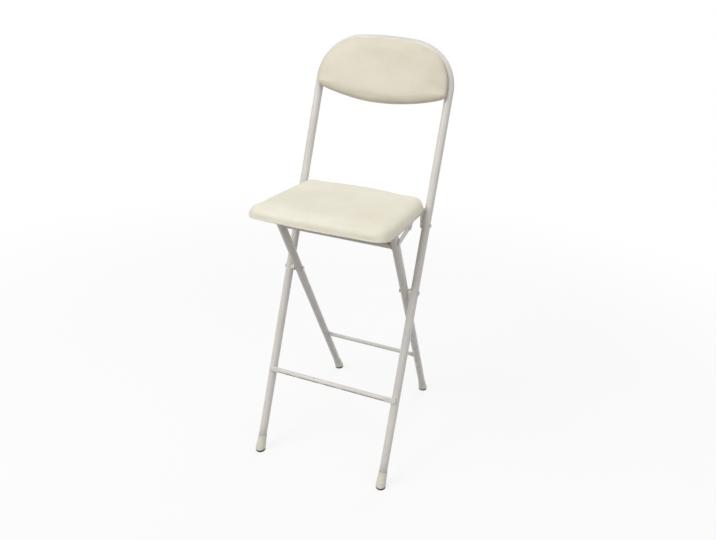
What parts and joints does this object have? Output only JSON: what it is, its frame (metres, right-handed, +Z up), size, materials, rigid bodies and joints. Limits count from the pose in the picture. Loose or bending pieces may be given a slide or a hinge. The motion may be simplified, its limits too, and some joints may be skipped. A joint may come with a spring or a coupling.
{
  "type": "folding bar stool",
  "caption": "Tall folding bar stool: a bent tube makes back and front legs, a padded seat and crossing rear legs fold together between its sides.",
  "frame": {"origin": "on the floor, in the middle of the stool's outline", "axes": "+Z up, +X across to the right-hand side as seen from the front, -Y the way the sitter faces"},
  "size_m": [0.4026, 0.5432, 1.1496],
  "materials": {
    "powder_coat": "semi-gloss warm light grey powder coat on steel",
    "bare_steel": "zinc-plated, satin",
    "seat_leather": "smooth coated cover, cream, fine grain",
    "back_leather": "smooth coated cover, cream, fine grain",
    "ivory_plastic": "moulded, matte, ivory",
    "black_rubber": "matte black",
    "plywood": "bare plywood"
  },
  "bodies": {
    "main_frame": {"main_frame_tube": "powder_coat", "foot_rest_bar": "powder_coat", "front_foot_sleeve_left": "ivory_plastic", "front_foot_sole_left": "black_rubber", "front_foot_sleeve_right": "ivory_plastic", "front_foot_sole_right": "black_rubber", "crossing_rivet_left": "bare_steel", "crossing_spacer_left": "ivory_plastic", "seat_hinge_rivet_left": "bare_steel", "seat_hinge_washer_left": "ivory_plastic", "crossing_rivet_right": "bare_steel", "crossing_spacer_right": "ivory_plastic", "seat_hinge_rivet_right": "bare_steel", "seat_hinge_washer_right": "ivory_plastic", "back_tab_lower_left": "powder_coat", "back_screw_lower_left": "bare_steel", "back_tab_upper_left": "powder_coat", "back_screw_upper_left": "bare_steel", "back_tab_lower_right": "powder_coat", "back_screw_lower_right": "bare_steel", "back_tab_upper_right": "powder_coat", "back_screw_upper_right": "bare_steel", "back_board": "plywood", "back_cushion": "back_leather"},
    "rear_legs": {"rear_leg_left": "powder_coat", "rear_leg_right": "powder_coat", "rear_top_rail": "powder_coat", "rear_rung": "powder_coat", "rear_foot_sleeve_left": "ivory_plastic", "rear_foot_sole_left": "black_rubber", "rear_foot_sleeve_right": "ivory_plastic", "rear_foot_sole_right": "black_rubber", "rear_leg_plug_left": "ivory_plastic", "rear_leg_plug_right": "ivory_plastic", "leg_rivet_left": "bare_steel", "leg_rivet_right": "bare_steel"},
    "seat": {"seat_bracket_left": "powder_coat", "seat_screw_left_1": "bare_steel", "seat_screw_left_2": "bare_steel", "seat_screw_left_3": "bare_steel", "link_rivet_left": "bare_steel", "seat_bracket_right": "powder_coat", "seat_screw_right_1": "bare_steel", "seat_screw_right_2": "bare_steel", "seat_screw_right_3": "bare_steel", "link_rivet_right": "bare_steel", "seat_board": "plywood", "seat_cushion": "seat_leather"},
    "link_left": {"seat_link_left": "powder_coat", "leg_rivet_head_left": "bare_steel"},
    "link_right": {"seat_link_right": "powder_coat", "leg_rivet_head_right": "bare_steel"}
  },
  "joints": [
    {"name": "rear_leg_fold", "type": "hinge", "parent": "main_frame", "child": "rear_legs", "pos_m": [0, -0.03918, 0.51515], "axis": [1, 0, 0], "range_deg": [-47.52, 0]},
    {"name": "seat_fold", "type": "hinge", "parent": "main_frame", "child": "seat", "pos_m": [0, 0.02016, 0.68945], "axis": [1, 0, 0], "range_deg": [-108.35, 0]},
    {"name": "link_left_swing", "type": "hinge", "parent": "seat", "child": "link_left", "pos_m": [-0.1718, -0.07524, 0.71564], "axis": [1, 0, 0], "range_deg": [0, 142.75]},
    {"name": "link_right_swing", "type": "hinge", "parent": "seat", "child": "link_right", "pos_m": [0.1718, -0.07524, 0.71564], "axis": [1, 0, 0], "range_deg": [0, 142.75]}
  ],
  "couplings": [
    {"joint": "seat_fold", "follows": "rear_leg_fold", "ratio": 2.2792},
    {"joint": "link_left_swing", "follows": "rear_leg_fold", "ratio": -3.0031},
    {"joint": "link_right_swing", "follows": "rear_leg_fold", "ratio": -3.0031}
  ]
}
